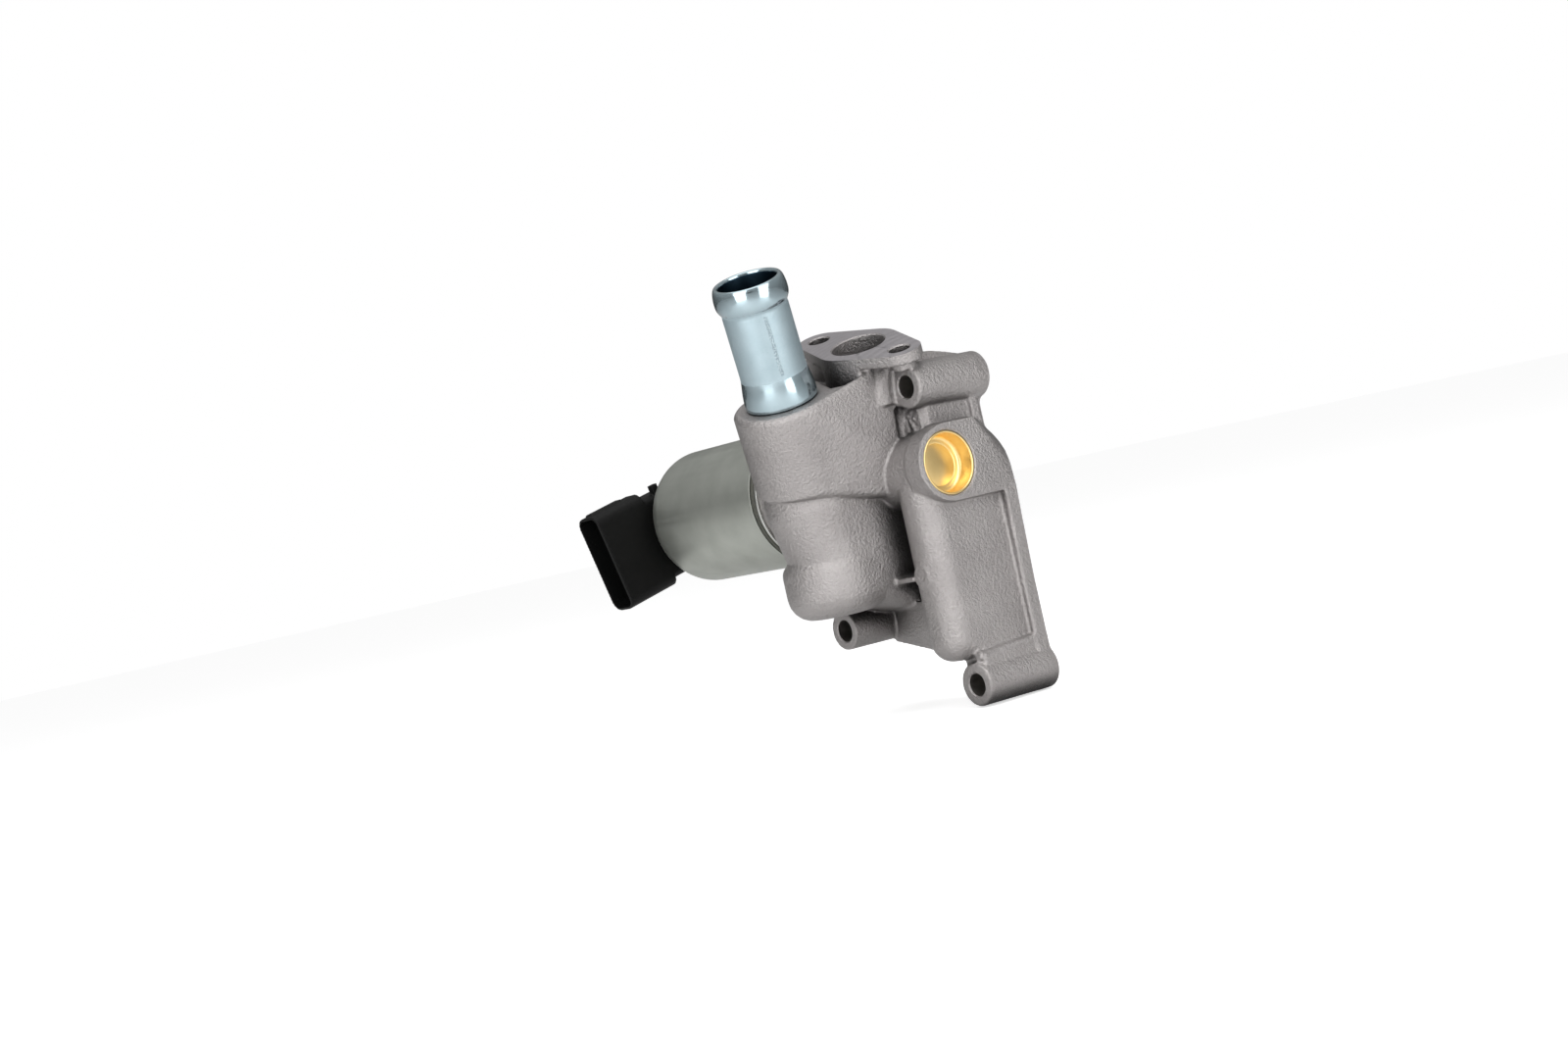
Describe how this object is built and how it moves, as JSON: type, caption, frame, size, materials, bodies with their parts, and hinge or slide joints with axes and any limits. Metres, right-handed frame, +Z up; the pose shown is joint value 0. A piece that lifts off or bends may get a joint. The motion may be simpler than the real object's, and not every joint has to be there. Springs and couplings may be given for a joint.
{
  "type": "exhaust gas recirculation valve",
  "caption": "Die-cast valve housing with gas and coolant passages, a pull solenoid on a cross axis that lifts a poppet off its seat, and an angled hose spigot.",
  "frame": {"origin": "axis of the lower bolt hole, on the mounting face", "axes": "+Y is the normal of the mounting face and points into the engine, +Z runs up along the coolant duct, +X is the side of the brass core plug, and the solenoid lies on -X"},
  "size_m": [0.148, 0.0761, 0.1397],
  "materials": {
    "cast_aluminium": "shot-blasted die casting with milled faces",
    "zinc_plated": "bright zinc plate, blue passivated",
    "can_steel": "satin zinc plate",
    "bright_steel": "turned and ground",
    "valve_steel": "heat-resistant steel, turned",
    "core_iron": "soft iron, turned",
    "spring_steel": "drawn wire",
    "brass": "drawn brass cup",
    "bronze": "sintered or sheet bronze",
    "copper": "enamelled copper wire",
    "contact_brass": "tin-plated brass",
    "black_plastic": "glass-filled nylon, matte",
    "sensor_board": "resistor track on laminate",
    "seal_rubber": "moulded rubber"
  },
  "bodies": {
    "valve_body": {"housing": "cast_aluminium", "hose_spigot": "zinc_plated", "core_plug": "brass", "bore_plug": "bright_steel", "seat_ring": "bright_steel", "stem_bush": "bronze", "stem_shield": "bright_steel", "base_plate": "bright_steel", "base_screws": "zinc_plated", "base_seal": "seal_rubber", "solenoid_can": "can_steel", "front_washer": "core_iron", "armature_sleeve": "bright_steel", "coil_bobbin": "black_plastic", "coil_winding": "copper", "back_washer": "core_iron", "back_pole": "core_iron", "return_spring": "spring_steel", "sensor_carrier": "sensor_board", "connector_shell": "black_plastic", "contact_pins": "contact_brass"},
    "poppet": {"valve_head": "valve_steel", "valve_stem": "bright_steel", "armature": "core_iron", "sensor_pin": "bright_steel", "sensor_wiper": "bronze"}
  },
  "joints": [
    {"name": "valve_lift", "type": "slide", "parent": "valve_body", "child": "poppet", "axis": [-1, 0, 0], "range_m": [0, 0.005], "stiffness_N_per_m": 1500, "springref_m": -0.004, "deforming": ["return_spring"]}
  ]
}
